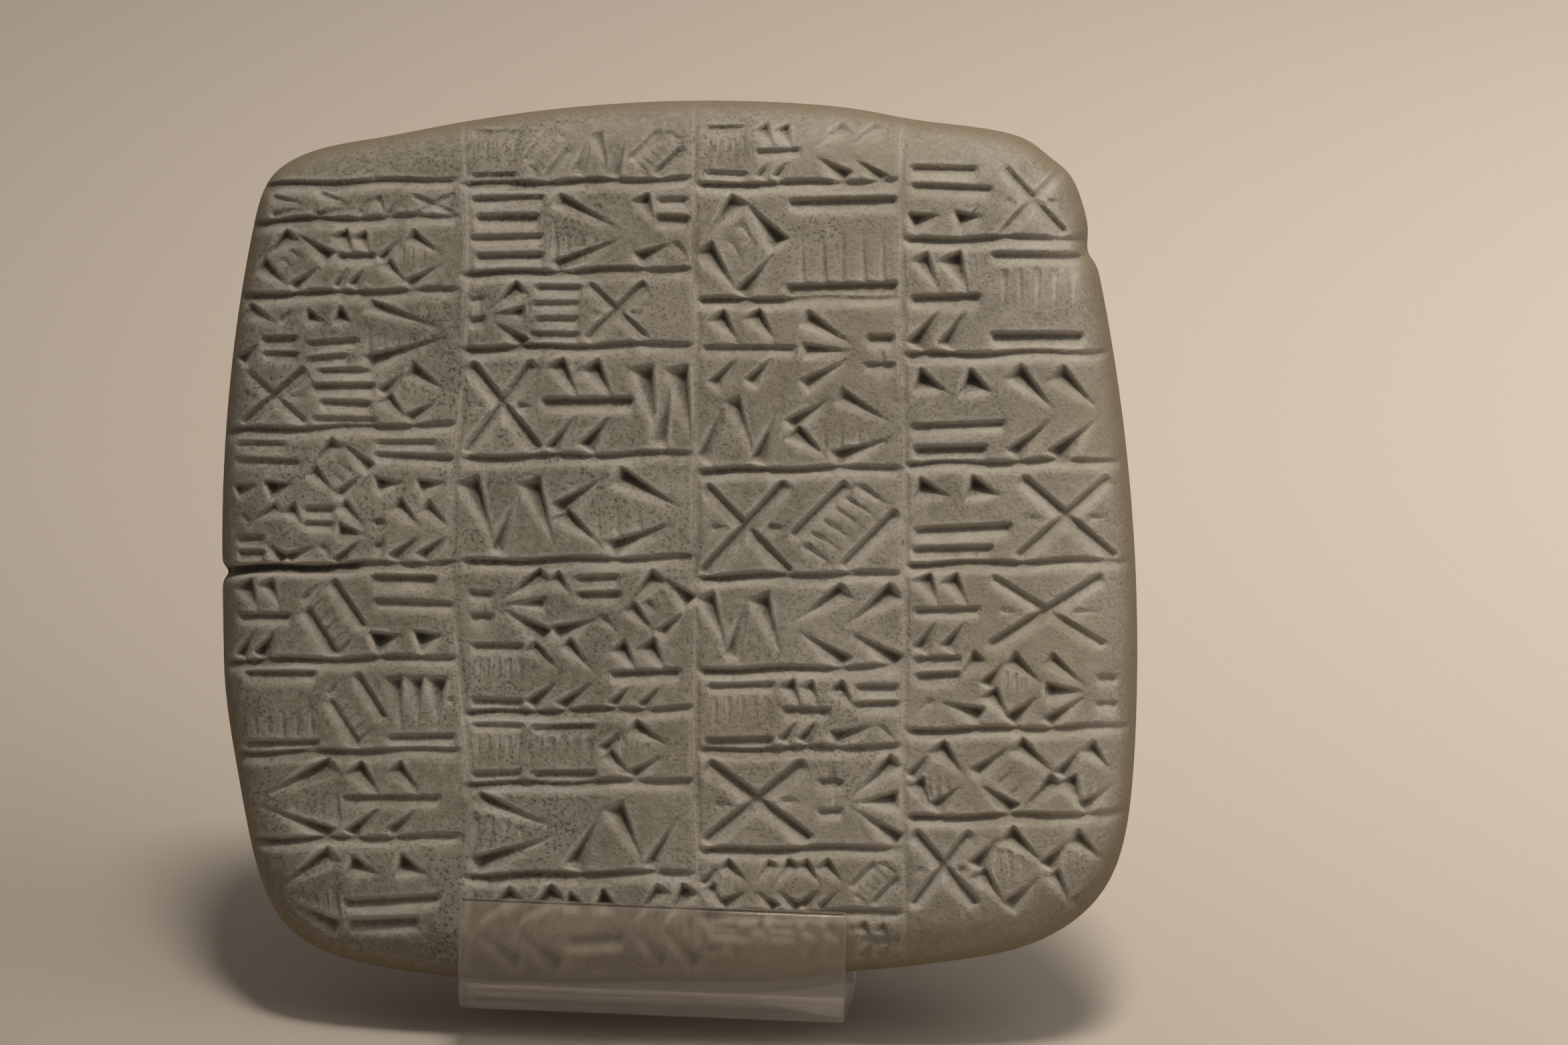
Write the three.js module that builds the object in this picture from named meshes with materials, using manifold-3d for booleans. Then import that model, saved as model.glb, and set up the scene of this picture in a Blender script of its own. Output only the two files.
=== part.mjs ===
import * as THREE from "three";
import { mergeVertices } from "three/addons/utils/BufferGeometryUtils.js";
import Module from "manifold-3d";

// A clay tablet with ruled cases and pressed strokes, leaning in a cradle bent from one clear strip.
// The tablet's own frame has its middle at the origin, x to the right, z up the face and -y out of the face.

// Tablet: size, swell of its two faces and rounding of their edges.
const tabletWidth = 80;
const tabletHeight = 77.5;
const frontRise = 7.5; // from the rim line to the edge of the flat face
const frontDome = 1.5; // how far the face swells from there to its middle
const backRise = 7.5;
const backDome = 3.5;
const frontEdgePower = 18; // higher is a sharper edge
const backEdgePower = 8;

// Each side bows out: it falls back by sag at half the tablet's length from its crown.
const topBow = { sag: 6.4, crown: 2 };
const bottomBow = { sag: 5.5, crown: -3 };
const rightBow = { sag: 4.6, crown: -8.75 };
const leftBow = { sag: 5.4, crown: -0.25 };

// Squareness of the corners, from the top right round by the top left: higher is sharper.
const cornerPowers = [20, 28, 13, 10.5];

// Lumps, chips and notches of the outline: direction in degrees, height (a chip is below 0) and spread in degrees.
const outlineLumps = [
  { at: 132, height: 0.5, spread: 5 },
  { at: 60, height: -0.4, spread: 6 },
  { at: 46, height: -0.5, spread: 2.5 },
  { at: 35.4, height: -0.6, spread: 1.6 },
  { at: 183.2, height: -0.5, spread: 0.9 },
  { at: 198, height: 0.3, spread: 8 },
  { at: 291, height: -0.3, spread: 6 },
  { at: 310, height: 0.5, spread: 7 },
  { at: 268, height: -0.6, spread: 13 },
];

// Column edges as shares of the width, and each column's case lines as shares of the height, from the top down.
const columnEdges = [-0.5, -0.2275, 0.027, 0.251, 0.5];
const caseLines = [
  [0.401, 0.36, 0.277, 0.126, -0.028, -0.133, -0.236, -0.333],
  [0.399, 0.299, 0.215, 0.093, -0.023, -0.191, -0.271, -0.374],
  [0.396, 0.267, 0.077, -0.041, -0.145, -0.234, -0.346, -0.417],
  [0.333, 0.205, 0.084, -0.028, -0.213, -0.31],
];
const crackLine = { column: 0, line: 4 }; // the case line that has opened into a crack
const crackReach = 0.62; // share of that line from the left edge
const lineSlope = 0.016; // case lines climb to the right
const lineMargin = 0.5; // ruled lines stop this far inside the outline
const lineGap = 0.25; // and this far from the column edges
const rimSteps = [0, 1.5, 4.5]; // and have places at these distances from their outer end
const lineWidth = 1.3;
const lineDepth = 0.75;
const crackWidth = 1.1;
const crackDepth = 1.7;
const dividerWidth = 0.8;
const dividerDepth = 0.35;
const dividerWaver = 0.8; // the first divider wanders by this much
const furrowSkew = 0.27; // the bottom of a ruled line lies towards its upper side by this share of its width

// Pressed strokes.
const wedgeWidth = 2;
const wedgeDepth = 1.15;
const barWidth = 1.4;
const barDepth = 0.75;
const scratchWidth = 1.1;
const scratchDepth = 0.5;
const dentWidth = 2.4;
const dentDepth = 1.4;
const tickWidth = 0.75;
const tickDepth = 0.4;
const strokeSizes = {
  wedge: [wedgeWidth, wedgeDepth],
  bar: [barWidth, barDepth],
  scratch: [scratchWidth, scratchDepth],
  dent: [dentWidth, dentDepth],
  tick: [tickWidth, tickDepth],
};
const leastCut = 0.7; // strokes shallower than this are too fine for the solid
const rimMargin = 1.1; // strokes stay this far inside the outline
const caseMargin = 0.5; // and this far inside the lines of their case
const leastMotif = 3.8; // width of a group of strokes
const mostMotif = 9.5;
const usualMotif = 6; // height of a group whose strokes have just the sizes above
const tallestRow = 10.5; // a taller case holds two rows
const lowestRow = 2; // a lower case holds none
const rowGap = 0.2;
const leastMotifGap = 0.2;
const mostMotifGap = 0.6;
const endInset = 4; // the top and bottom of a column are measured this far inside its outer edge
const unevenness = 0.15; // the ends of strokes stray by up to this
const steepShare = 0.6; // the deepest point of a stroke lies this far towards its steep side

// Cradle strip.
const stripWidth = 33.4;
const stripThickness = 1.5;
const bendRadius = 2.6; // at the middle of the sheet
const shelfRise = 1; // the shelf climbs by this much from lip to heel, seen along the tablet
const lipLength = 9;
const lipFlare = 14;
const backRestLength = 52;
const rearLegAngle = 27; // from upright
const footGap = 1; // between the strip's free end and the bend in front of it
const restGap = 0.3; // between tablet and strip

// How the tablet stands, in degrees, and how far it sits to the right of the strip's middle.
const leanBack = 16;
const tabletRoll = 2.4;
const tabletShift = 0.4;

const bodySteps = 8; // grid steps from the middle of a face to its rim
const seatSteps = 200; // places down a face at which the shelf is fitted under it
const cutterReach = 3; // a pit's cutter is this many times as tall as the pit is deep
const furrowRise = 0.6; // a furrow's cutter stands this far out of the clay
const runOutShare = 0.975; // furrows follow the face this far towards the rim, then run out of it
const flatShare = 0.95; // strokes are cut only where the face is still nearly flat

const wasm = await Module();
wasm.setup();
const radians = Math.PI / 180;

// Seeded numbers from 0 to 1, so that the strokes fall the same way each time.
let seed = 20417;
function random() {
  seed = (Math.imul(seed, 1664525) + 1013904223) >>> 0;
  return seed / 4294967296;
}
function between(low, high) {
  return low + (high - low) * random();
}

function endReach(x, upper) {
  const bow = upper ? topBow : bottomBow;
  return tabletHeight / 2 - bow.sag * ((x - bow.crown) / (tabletWidth / 2)) ** 2;
}
function sideReach(z, right) {
  const bow = right ? rightBow : leftBow;
  return tabletWidth / 2 - bow.sag * ((z - bow.crown) / (tabletHeight / 2)) ** 2;
}

// Distance from the middle to the outline: a squircle between the bowed sides, with lumps and chips added.
function outlineRadius(angle) {
  const turned = (angle / radians + 360) % 360;
  const power = cornerPowers[Math.floor(turned / 90) % 4];
  const across = Math.cos(angle);
  const up = Math.sin(angle);
  let inside = 0;
  let outside = tabletWidth + tabletHeight;
  for (let i = 0; i < 40; i++) {
    const r = (inside + outside) / 2;
    const x = r * across;
    const z = r * up;
    const side = Math.max(sideReach(z, x > 0), 1);
    const end = Math.max(endReach(x, z > 0), 1);
    if ((Math.abs(x) / side) ** power + (Math.abs(z) / end) ** power > 1) outside = r;
    else inside = r;
  }
  let radius = inside;
  for (const lump of outlineLumps) {
    const away = ((turned - lump.at + 540) % 360) - 180;
    radius += lump.height * Math.exp(-((away / lump.spread) ** 2));
  }
  return radius;
}

// 0 in the middle, 1 on the outline.
function edgeShare(x, z) {
  return Math.min(Math.hypot(x, z) / outlineRadius(Math.atan2(z, x)), 1);
}
function frontHeight(share) {
  return frontDome * (1 - share ** 2) + frontRise * Math.sqrt(1 - share ** frontEdgePower);
}
function backHeight(share) {
  return backDome * (1 - share ** 2) + backRise * Math.sqrt(1 - share ** backEdgePower);
}

function closedSolid(points, triangles) {
  const shape = new THREE.BufferGeometry();
  shape.setAttribute("position", new THREE.Float32BufferAttribute(points.flat(), 3));
  shape.setIndex(triangles.flat());
  const merged = mergeVertices(shape, 1e-4);
  return new wasm.Manifold(
    new wasm.Mesh({
      numProp: 3,
      vertProperties: merged.attributes.position.array,
      triVerts: new Uint32Array(merged.index.array),
    }),
  );
}

// The uncut tablet: a square grid wrapped into the outline, once for each face, closer spaced towards the rim.
function tabletBlank() {
  const row = 2 * bodySteps + 1;
  const points = [];
  const triangles = [];
  for (const front of [true, false]) {
    const first = points.length;
    for (let i = 0; i < row; i++) {
      for (let j = 0; j < row; j++) {
        const u = Math.sin((Math.PI / 2) * (i / bodySteps - 1));
        const v = Math.sin((Math.PI / 2) * (j / bodySteps - 1));
        const share = Math.max(Math.abs(u), Math.abs(v));
        const angle = Math.atan2(v * tabletHeight, u * tabletWidth);
        const r = share * outlineRadius(angle);
        const y = front ? -frontHeight(share) : backHeight(share);
        points.push([r * Math.cos(angle), y, r * Math.sin(angle)]);
      }
    }
    for (let i = 0; i < row - 1; i++) {
      for (let j = 0; j < row - 1; j++) {
        const a = first + i * row + j;
        const corners = [a, a + row, a + row + 1, a + 1];
        const radial = i < bodySteps === j < bodySteps;
        const split = radial ? [0, 1, 2, 0, 2, 3] : [1, 2, 3, 1, 3, 0];
        const order = split.map((k) => corners[k]);
        if (!front) order.reverse();
        triangles.push(order);
      }
    }
  }
  return closedSolid(points, triangles);
}

// A pit with a corner at each footprint point and one deepest point below. The cutter goes on past the surface by
// the same slopes, so that its footprint is true there.
function pitCutter(footprint, deepest, depth) {
  const onFace = ([x, z]) => new THREE.Vector3(x, -frontHeight(edgeShare(x, z)), z);
  const floor = onFace(deepest);
  floor.y += depth;
  const points = footprint.map((corner) => floor.clone().lerp(onFace(corner), cutterReach).toArray());
  points.push(floor.toArray());
  const last = points.length - 1;
  const triangles = [];
  for (let i = 0; i < last; i++) triangles.push([(i + 1) % last, i, last]);
  for (let i = 1; i < last - 1; i++) triangles.push([0, i, i + 1]);
  const cutter = closedSolid(points, triangles);
  return cutter.volume() > 0 ? cutter : closedSolid(points, triangles.map((t) => t.toReversed()));
}

// The side of a stroke that lies in shade is its steep one: the unit vector across it that points up.
function shadeSide(stroke) {
  const dx = stroke.x1 - stroke.x0;
  const dz = stroke.z1 - stroke.z0;
  const long = Math.hypot(dx, dz);
  const turn = dx - 0.3 * dz > 0 ? 1 : -1;
  return [(-dz / long) * turn, (dx / long) * turn];
}

// A ruled line: a three-sided cutter carried along its stations, following the swell of the face.
function furrowCutter(stations, width, depth) {
  const points = [];
  const triangles = [];
  const grow = (depth + furrowRise) / depth;
  const bottom = width * furrowSkew;
  stations.forEach(([x, z], i) => {
    const before = stations[Math.max(i - 1, 0)];
    const after = stations[Math.min(i + 1, stations.length - 1)];
    const long = Math.hypot(after[0] - before[0], after[1] - before[1]);
    const sx = -(after[1] - before[1]) / long;
    const sz = (after[0] - before[0]) / long;
    const top = -frontHeight(Math.min(edgeShare(x, z), runOutShare));
    const across = (side, y) => [x + sx * side, y, z + sz * side];
    points.push(across(bottom + (width / 2 - bottom) * grow, top - furrowRise));
    points.push(across(bottom - (width / 2 + bottom) * grow, top - furrowRise));
    points.push(across(bottom, top + depth));
  });
  for (let i = 0; i < stations.length - 1; i++) {
    for (let k = 0; k < 3; k++) {
      const a = 3 * i + k;
      const b = 3 * i + ((k + 1) % 3);
      triangles.push([a, b, b + 3], [a, b + 3, a + 3]);
    }
  }
  const end = points.length - 3;
  triangles.push([2, 1, 0], [end, end + 1, end + 2]);
  const cutter = closedSolid(points, triangles);
  return cutter.volume() > 0 ? cutter : closedSolid(points, triangles.map((t) => t.toReversed()));
}

// A wedge or dent is wide at its head and runs out to a point. A bar is an even furrow. A scratch narrows at both
// ends.
function strokeCutter(stroke) {
  const { kind, x0, z0, x1, z1, width, depth } = stroke;
  const [sx, sz] = shadeSide(stroke);
  if (kind === "bar") {
    const run = [[x0, z0], [x1, z1]];
    const forward = (x1 - x0) * sz - (z1 - z0) * sx > 0;
    return furrowCutter(forward ? run : run.toReversed(), width, depth);
  }
  const half = width / 2;
  const along = (t, side) => [x0 + (x1 - x0) * t + sx * side, z0 + (z1 - z0) * t + sz * side];
  if (kind === "scratch") {
    const footprint = [along(0, 0), along(0.2, -half), along(1, 0), along(0.2, half)];
    return pitCutter(footprint, along(0.25, half * steepShare), depth);
  }
  return pitCutter([along(0, half), along(0, -half), along(1, 0)], along(0.15, half * 0.85 * steepShare), depth);
}

// The strokes are laid out motif by motif, left to right in each case. Each motif is a list of strokes by their kind
// and both ends, as shares of the motif's own box.
const motifs = [
  [ // three wedges that run together, then bars
    ["wedge", 0, 1, 0.62, 0.53], ["wedge", 0, 0.5, 0.6, 0.5], ["wedge", 0, 0, 0.62, 0.47],
    ["bar", 0.66, 0.72, 1, 0.72], ["bar", 0.66, 0.36, 1, 0.36], ["scratch", 0.82, 1, 0.82, 0.05],
  ],
  [ // a doubled V on its side
    ["wedge", 0, 1, 0.5, 0.5], ["wedge", 0, 0, 0.5, 0.5], ["wedge", 0.46, 1, 0.98, 0.5],
    ["wedge", 0.46, 0, 0.98, 0.5],
  ],
  [ // a slanted patch filled with ticks
    ["bar", 0, 0.35, 0.55, 1], ["bar", 0.45, 0, 1, 0.65], ["scratch", 0, 0.35, 0.45, 0],
    ["scratch", 0.55, 1, 1, 0.65], ["tick", 0.11, 0.48, 0.56, 0.13], ["tick", 0.22, 0.61, 0.67, 0.26],
    ["tick", 0.33, 0.74, 0.78, 0.39], ["tick", 0.44, 0.87, 0.89, 0.52],
  ],
  [ // four wedges round two ticks
    ["wedge", 0, 0.5, 0.5, 1], ["wedge", 0.5, 1, 1, 0.5], ["wedge", 1, 0.5, 0.5, 0],
    ["wedge", 0.5, 0, 0, 0.5], ["tick", 0.3, 0.42, 0.58, 0.72], ["tick", 0.45, 0.27, 0.72, 0.55],
  ],
  [ // wedges standing on a bar
    ["bar", 0, 0.1, 1, 0.14], ["wedge", 0.12, 1, 0.2, 0.2], ["wedge", 0.4, 1, 0.44, 0.2],
    ["wedge", 0.68, 1, 0.68, 0.2], ["scratch", 0.84, 0.62, 1, 0.62],
  ],
  [ // long bars one above the other
    ["bar", 0.06, 0.92, 1, 0.92], ["bar", 0, 0.64, 1, 0.64], ["bar", 0.1, 0.36, 0.94, 0.36],
    ["bar", 0, 0.08, 1, 0.08],
  ],
  [ // two wedges with bars after them
    ["wedge", 0, 0.98, 0.34, 0.6], ["bar", 0.3, 0.88, 1, 0.88], ["bar", 0.3, 0.62, 1, 0.62],
    ["wedge", 0, 0.05, 0.7, 0.34], ["scratch", 0.62, 0.36, 1, 0.04],
  ],
  [ // two long bars that cross
    ["bar", 0, 1, 1, 0], ["bar", 0, 0, 1, 1], ["tick", 0.1, 0.5, 0.36, 0.5], ["scratch", 0.68, 0.5, 1, 0.5],
  ],
  [ // a three-sided outline with ticks
    ["wedge", 0, 1, 1, 0.5], ["wedge", 0, 0, 1, 0.5], ["scratch", 0.04, 0.95, 0.04, 0.05],
    ["tick", 0.2, 0.78, 0.2, 0.24], ["tick", 0.36, 0.7, 0.36, 0.32], ["tick", 0.52, 0.62, 0.52, 0.4],
  ],
  [ // deep dents over bars
    ["dent", 0.04, 0.84, 0.4, 0.72], ["dent", 0.54, 0.84, 0.9, 0.72], ["bar", 0, 0.3, 1, 0.36],
    ["bar", 0, 0.04, 0.8, 0.08],
  ],
  [ // a pointed oval with ticks
    ["wedge", 0, 0.5, 0.38, 0.96], ["wedge", 0.38, 0.96, 1, 0.56], ["wedge", 0, 0.5, 0.42, 0.04],
    ["wedge", 0.42, 0.04, 1, 0.48], ["tick", 0.3, 0.8, 0.3, 0.24], ["tick", 0.46, 0.8, 0.46, 0.22],
    ["tick", 0.62, 0.7, 0.62, 0.32],
  ],
  [ // wedges up and down in turn
    ["wedge", 0, 0.96, 0.32, 0.04], ["wedge", 0.34, 0.04, 0.64, 0.96], ["wedge", 0.68, 0.96, 1, 0.04],
  ],
  [ // wedges on both sides of a bar
    ["bar", 0, 0.5, 1, 0.5], ["wedge", 0.12, 1, 0.42, 0.54], ["wedge", 0.5, 1, 0.8, 0.54],
    ["wedge", 0.12, 0, 0.42, 0.46], ["wedge", 0.5, 0, 0.8, 0.46],
  ],
  [ // two bars with rungs
    ["bar", 0, 0.94, 1, 0.94], ["bar", 0, 0.06, 1, 0.06], ["tick", 0.14, 0.86, 0.14, 0.14],
    ["tick", 0.32, 0.86, 0.32, 0.14], ["tick", 0.5, 0.86, 0.5, 0.14], ["tick", 0.68, 0.86, 0.68, 0.14],
    ["tick", 0.86, 0.86, 0.86, 0.14],
  ],
];
const strokes = [];

function press(box, [kind, u0, v0, u1, v1]) {
  const place = (u, v) => [
    box.x + box.w * (box.flipU ? 1 - u : u) + between(-unevenness, unevenness),
    box.z + box.h * (box.flipV ? 1 - v : v) + between(-unevenness, unevenness),
  ];
  const [x0, z0] = place(u0, v0);
  const [x1, z1] = place(u1, v1);
  const scale = between(0.85, 1.15) * Math.sqrt(box.h / usualMotif);
  strokes.push({ kind, x0, z0, x1, z1, width: strokeSizes[kind][0] * scale, depth: strokeSizes[kind][1] * scale });
}

// One row of motifs between low and high, from the left edge to the right. The last one fills what is left.
function fillRow(left, right, low, high) {
  let x = left;
  while (right - x > leastMotif) {
    const h = (high - low) * between(0.92, 1);
    let w = Math.min(Math.max(h * between(0.75, 1.3), leastMotif), mostMotif, right - x);
    if (right - x - w < leastMotif) w = Math.min(right - x, 1.3 * w);
    const z = between(low, high - h);
    const box = { x, z, w, h, flipU: random() > 0.75, flipV: random() > 0.5 };
    for (const stroke of motifs[Math.floor(random() * motifs.length)]) press(box, stroke);
    x += w + between(leastMotifGap, mostMotifGap);
  }
}

// The height of a case line at its left end, and how it climbs.
function lineHeight(column, line) {
  return caseLines[column][line] * tabletHeight;
}

function layStrokes() {
  for (let column = 0; column < caseLines.length; column++) {
    const count = caseLines[column].length;
    for (let k = 0; k <= count; k++) {
      const leftEdge = columnEdges[column] * tabletWidth;
      const rightEdge = columnEdges[column + 1] * tabletWidth;
      const mostOut = Math.max(Math.abs(leftEdge + endInset), Math.abs(rightEdge - endInset));
      const outward = column < 2 ? -mostOut : mostOut;
      const top = k === 0 ? endReach(outward, true) - rimMargin : lineHeight(column, k - 1);
      const bottom = k === count ? rimMargin - endReach(outward, false) : lineHeight(column, k);
      const middle = (top + bottom) / 2;
      const left = column === 0 ? rimMargin - sideReach(middle, false) : leftEdge;
      const right = column === caseLines.length - 1 ? sideReach(middle, true) - rimMargin : rightEdge;
      const low = bottom + caseMargin;
      const high = top - caseMargin;
      if (high - low < lowestRow) continue;
      const rows = high - low > tallestRow ? 2 : 1;
      for (let row = 0; row < rows; row++) {
        const step = (high - low) / rows;
        fillRow(left + caseMargin, right - caseMargin, low + row * step, low + (row + 1) * step - rowGap);
      }
    }
  }
}

// Places along a ruled line: close together where the face falls away to the rim, with even steps between.
function stopsOf(from, to, rimFirst, rimLast, count) {
  const before = rimFirst ? rimSteps.map((step) => from + step) : [from];
  const after = rimLast ? rimSteps.map((step) => to - step).toReversed() : [to];
  const start = before.at(-1);
  const stop = after[0];
  const middle = [];
  for (let i = 1; i < count; i++) middle.push(start + ((stop - start) * i) / count);
  return [...before, ...middle, ...after];
}

function carvedTablet() {
  let clay = tabletBlank();
  for (let column = 1; column < columnEdges.length - 1; column++) {
    const x = columnEdges[column] * tabletWidth;
    const top = endReach(x, true) - lineMargin;
    const bottom = lineMargin - endReach(x, false);
    const waver = column === 1 ? dividerWaver : 0;
    const run = stopsOf(bottom, top, true, true, 5).map((z) => {
      const bend = waver * Math.sin((3 * Math.PI * (z - bottom)) / (top - bottom));
      return [x + bend, z];
    });
    clay = clay.subtract(furrowCutter(run, dividerWidth, dividerDepth));
  }
  caseLines.forEach((lines, column) => {
    const atLeft = column === 0;
    const atRight = column === caseLines.length - 1;
    lines.forEach((share, line) => {
      const z = lineHeight(column, line);
      const first = atLeft ? lineMargin - sideReach(z, false) : columnEdges[column] * tabletWidth + lineGap;
      const last = atRight ? sideReach(z, true) - lineMargin : columnEdges[column + 1] * tabletWidth - lineGap;
      const climbing = (x) => [x, z + lineSlope * (x - first)];
      const run = stopsOf(first, last, atLeft, atRight, 1).map(climbing);
      clay = clay.subtract(furrowCutter(run, lineWidth, lineDepth));
      if (column === crackLine.column && line === crackLine.line) {
        const stop = first + (last - first) * crackReach;
        const crack = stopsOf(first, stop, true, false, 1).map(climbing);
        clay = clay.subtract(furrowCutter(crack, crackWidth, crackDepth));
      }
    });
  });
  layStrokes();
  for (const stroke of strokes) {
    if (stroke.depth < leastCut) continue;
    if (Math.max(edgeShare(stroke.x0, stroke.z0), edgeShare(stroke.x1, stroke.z1)) > flatShare) continue;
    clay = clay.subtract(strokeCutter(stroke));
  }
  return clay;
}

function geometryOf(solid) {
  const mesh = solid.getMesh();
  const geometry = new THREE.BufferGeometry();
  geometry.setAttribute("position", new THREE.BufferAttribute(mesh.vertProperties, 3));
  geometry.setIndex(new THREE.BufferAttribute(mesh.triVerts, 1));
  geometry.computeVertexNormals();
  return geometry;
}

// How far the rolled outline reaches below the tablet's middle.
function lowestReach() {
  let lowest = 0;
  for (let degree = 180; degree < 360; degree++) {
    const r = outlineRadius(degree * radians);
    lowest = Math.max(lowest, -r * Math.sin((degree + tabletRoll) * radians));
  }
  return lowest;
}

// The strip seen from its side: y runs to the back and z up. Corners of its middle line, front lip first, are given
// in the tablet's tilted plane: up along the face, out in front of it.
const backPlane = -(backRise + backDome + restGap + stripThickness / 2);
const lipPlane = frontRise + restGap + stripThickness / 2;
const shelfSlope = shelfRise / (lipPlane - backPlane);
const leanSine = Math.sin(leanBack * radians);
const leanCosine = Math.cos(leanBack * radians);
function tilted(up, out) {
  return new THREE.Vector2(up * leanSine - out * leanCosine, up * leanCosine + out * leanSine);
}

// Height of the shelf's front end: the sloping shelf just clears the tablet's rounded underside.
function shelfFront() {
  const reach = lowestReach();
  let under = 0;
  for (let i = 0; i <= seatSteps; i++) {
    const share = i / seatSteps;
    for (const out of [frontHeight(share), -backHeight(share)]) {
      under = Math.min(under, -reach * share - shelfSlope * (lipPlane - out));
    }
  }
  return under - (restGap + stripThickness / 2) * Math.hypot(1, shelfSlope);
}

// Middle of the bend at a corner between two neighbouring corners.
function bendCentre(before, corner, after) {
  const a = before.clone().sub(corner).normalize();
  const b = after.clone().sub(corner).normalize();
  const halfAngle = Math.acos(a.dot(b)) / 2;
  return corner.clone().addScaledVector(a.add(b).normalize(), bendRadius / Math.sin(halfAngle));
}

function stripCorners() {
  const seat = shelfFront();
  const flare = Math.tan(lipFlare * radians);
  const lipTop = tilted(seat + lipLength, lipPlane + lipLength * flare);
  const toe = tilted(seat, lipPlane);
  const heel = tilted(seat + shelfRise, backPlane);
  const crest = tilted(seat + backRestLength, backPlane);
  const heelBend = bendCentre(toe, heel, crest);
  const floor = heelBend.y - bendRadius;
  const foot = new THREE.Vector2(crest.x + (crest.y - floor) * Math.tan(rearLegAngle * radians), floor);
  const outer = bendRadius + stripThickness / 2;
  const inner = bendRadius - stripThickness / 2;
  const tip = new THREE.Vector2(heelBend.x + Math.sqrt(outer * outer - inner * inner) + footGap, floor);
  return [lipTop, toe, heel, crest, foot, tip];
}

// Both faces of a sheet whose middle line bends round each inner corner.
function sheetOutline(corners) {
  const left = [];
  const right = [];
  const half = stripThickness / 2;
  const add = (point, normal) => {
    left.push(point.clone().addScaledVector(normal, half));
    right.push(point.clone().addScaledVector(normal, -half));
  };
  corners.forEach((corner, i) => {
    const into = i > 0 ? corner.clone().sub(corners[i - 1]).normalize() : null;
    const away = i < corners.length - 1 ? corners[i + 1].clone().sub(corner).normalize() : null;
    if (!into || !away) {
      const run = into ?? away;
      add(corner, new THREE.Vector2(-run.y, run.x));
      return;
    }
    const turn = Math.atan2(into.cross(away), into.dot(away));
    const setBack = bendRadius * Math.tan(Math.abs(turn) / 2);
    const sign = Math.sign(turn);
    const start = corner.clone().addScaledVector(into, -setBack);
    const normal = new THREE.Vector2(-into.y, into.x);
    const centre = start.clone().addScaledVector(normal, sign * bendRadius);
    const steps = Math.max(3, Math.ceil(Math.abs(turn) / (16 * radians)));
    for (let k = 0; k <= steps; k++) {
      const outward = normal.clone().rotateAround(new THREE.Vector2(), (turn * k) / steps);
      add(centre.clone().addScaledVector(outward, -sign * bendRadius), outward);
    }
  });
  return new THREE.Shape([...left, ...right.reverse()]);
}

const corners = stripCorners();
const ground = corners[corners.length - 1].y - stripThickness / 2;
const baseMiddle = (corners[4].x + corners[5].x) / 2;

const clay = new THREE.MeshStandardMaterial({ color: 0x736c5c, roughness: 0.9, metalness: 0 });
const clear = new THREE.MeshStandardMaterial({
  color: 0xf2f2ef,
  roughness: 0.08,
  metalness: 0,
  transparent: true,
  opacity: 0.3,
});

// The part stands on the strip's flat foot, whose middle is the origin.
const part = new THREE.Group();
part.position.set(0, -baseMiddle, -ground);

const tablet = new THREE.Mesh(geometryOf(carvedTablet()), clay);
tablet.name = "tablet";
tablet.rotation.set(-leanBack * radians, -tabletRoll * radians, 0);
tablet.position.x = tabletShift;
part.add(tablet);

// The extrusion runs along its own z, which is turned to lie along x.
const strip = new THREE.ExtrudeGeometry(sheetOutline(corners), { depth: stripWidth, bevelEnabled: false });
const stripTurn = new THREE.Matrix4().makeBasis(
  new THREE.Vector3(0, 1, 0),
  new THREE.Vector3(0, 0, 1),
  new THREE.Vector3(1, 0, 0),
);
strip.translate(0, 0, -stripWidth / 2).applyMatrix4(stripTurn);
const stand = new THREE.Mesh(strip, clear);
stand.name = "clear_stand";
part.add(stand);

export default part;
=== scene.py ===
import math
import bpy
import numpy as np
from mathutils import Matrix, Vector


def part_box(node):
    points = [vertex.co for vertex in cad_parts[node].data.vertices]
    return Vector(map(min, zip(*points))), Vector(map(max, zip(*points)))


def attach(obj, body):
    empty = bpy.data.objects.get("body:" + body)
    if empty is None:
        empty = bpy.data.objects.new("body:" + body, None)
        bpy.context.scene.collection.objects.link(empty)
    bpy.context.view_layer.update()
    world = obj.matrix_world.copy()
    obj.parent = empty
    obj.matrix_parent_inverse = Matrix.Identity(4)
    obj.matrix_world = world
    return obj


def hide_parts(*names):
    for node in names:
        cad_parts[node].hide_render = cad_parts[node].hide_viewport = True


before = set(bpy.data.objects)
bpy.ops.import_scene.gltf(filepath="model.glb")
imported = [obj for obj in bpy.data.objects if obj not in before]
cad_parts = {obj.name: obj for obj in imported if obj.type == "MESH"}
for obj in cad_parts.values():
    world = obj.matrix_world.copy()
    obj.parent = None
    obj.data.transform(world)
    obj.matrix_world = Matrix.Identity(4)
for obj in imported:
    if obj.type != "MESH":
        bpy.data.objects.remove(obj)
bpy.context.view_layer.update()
print("frame loaded")

mm = 0.001  # tablet, strokes and strip are worked out in millimetres, in the tablet's upright plane
view = dict(
    lean=16.0,  # degrees the tablet leans back
    look=16.0,  # degrees the camera looks down
    roll=2.4,  # degrees the tablet is rolled in its cradle
    azimuth=3.0, tilt=1.3,  # degrees the camera stands to the right and is rolled
    distance=0.7, focal=183.9, sensor=36.0, farthest=50.0,
    aimRight=0.0092, aimUp=0.0019,
)


# Scattered values that fall the same way each time: the same draws as the solids' strokes.
drawState = {"seed": 20417}


def draw():
    drawState["seed"] = (drawState["seed"] * 1664525 + 1013904223) & 0xFFFFFFFF
    return drawState["seed"] / 4294967296


def between(low, high):
    return low + (high - low) * draw()


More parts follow.
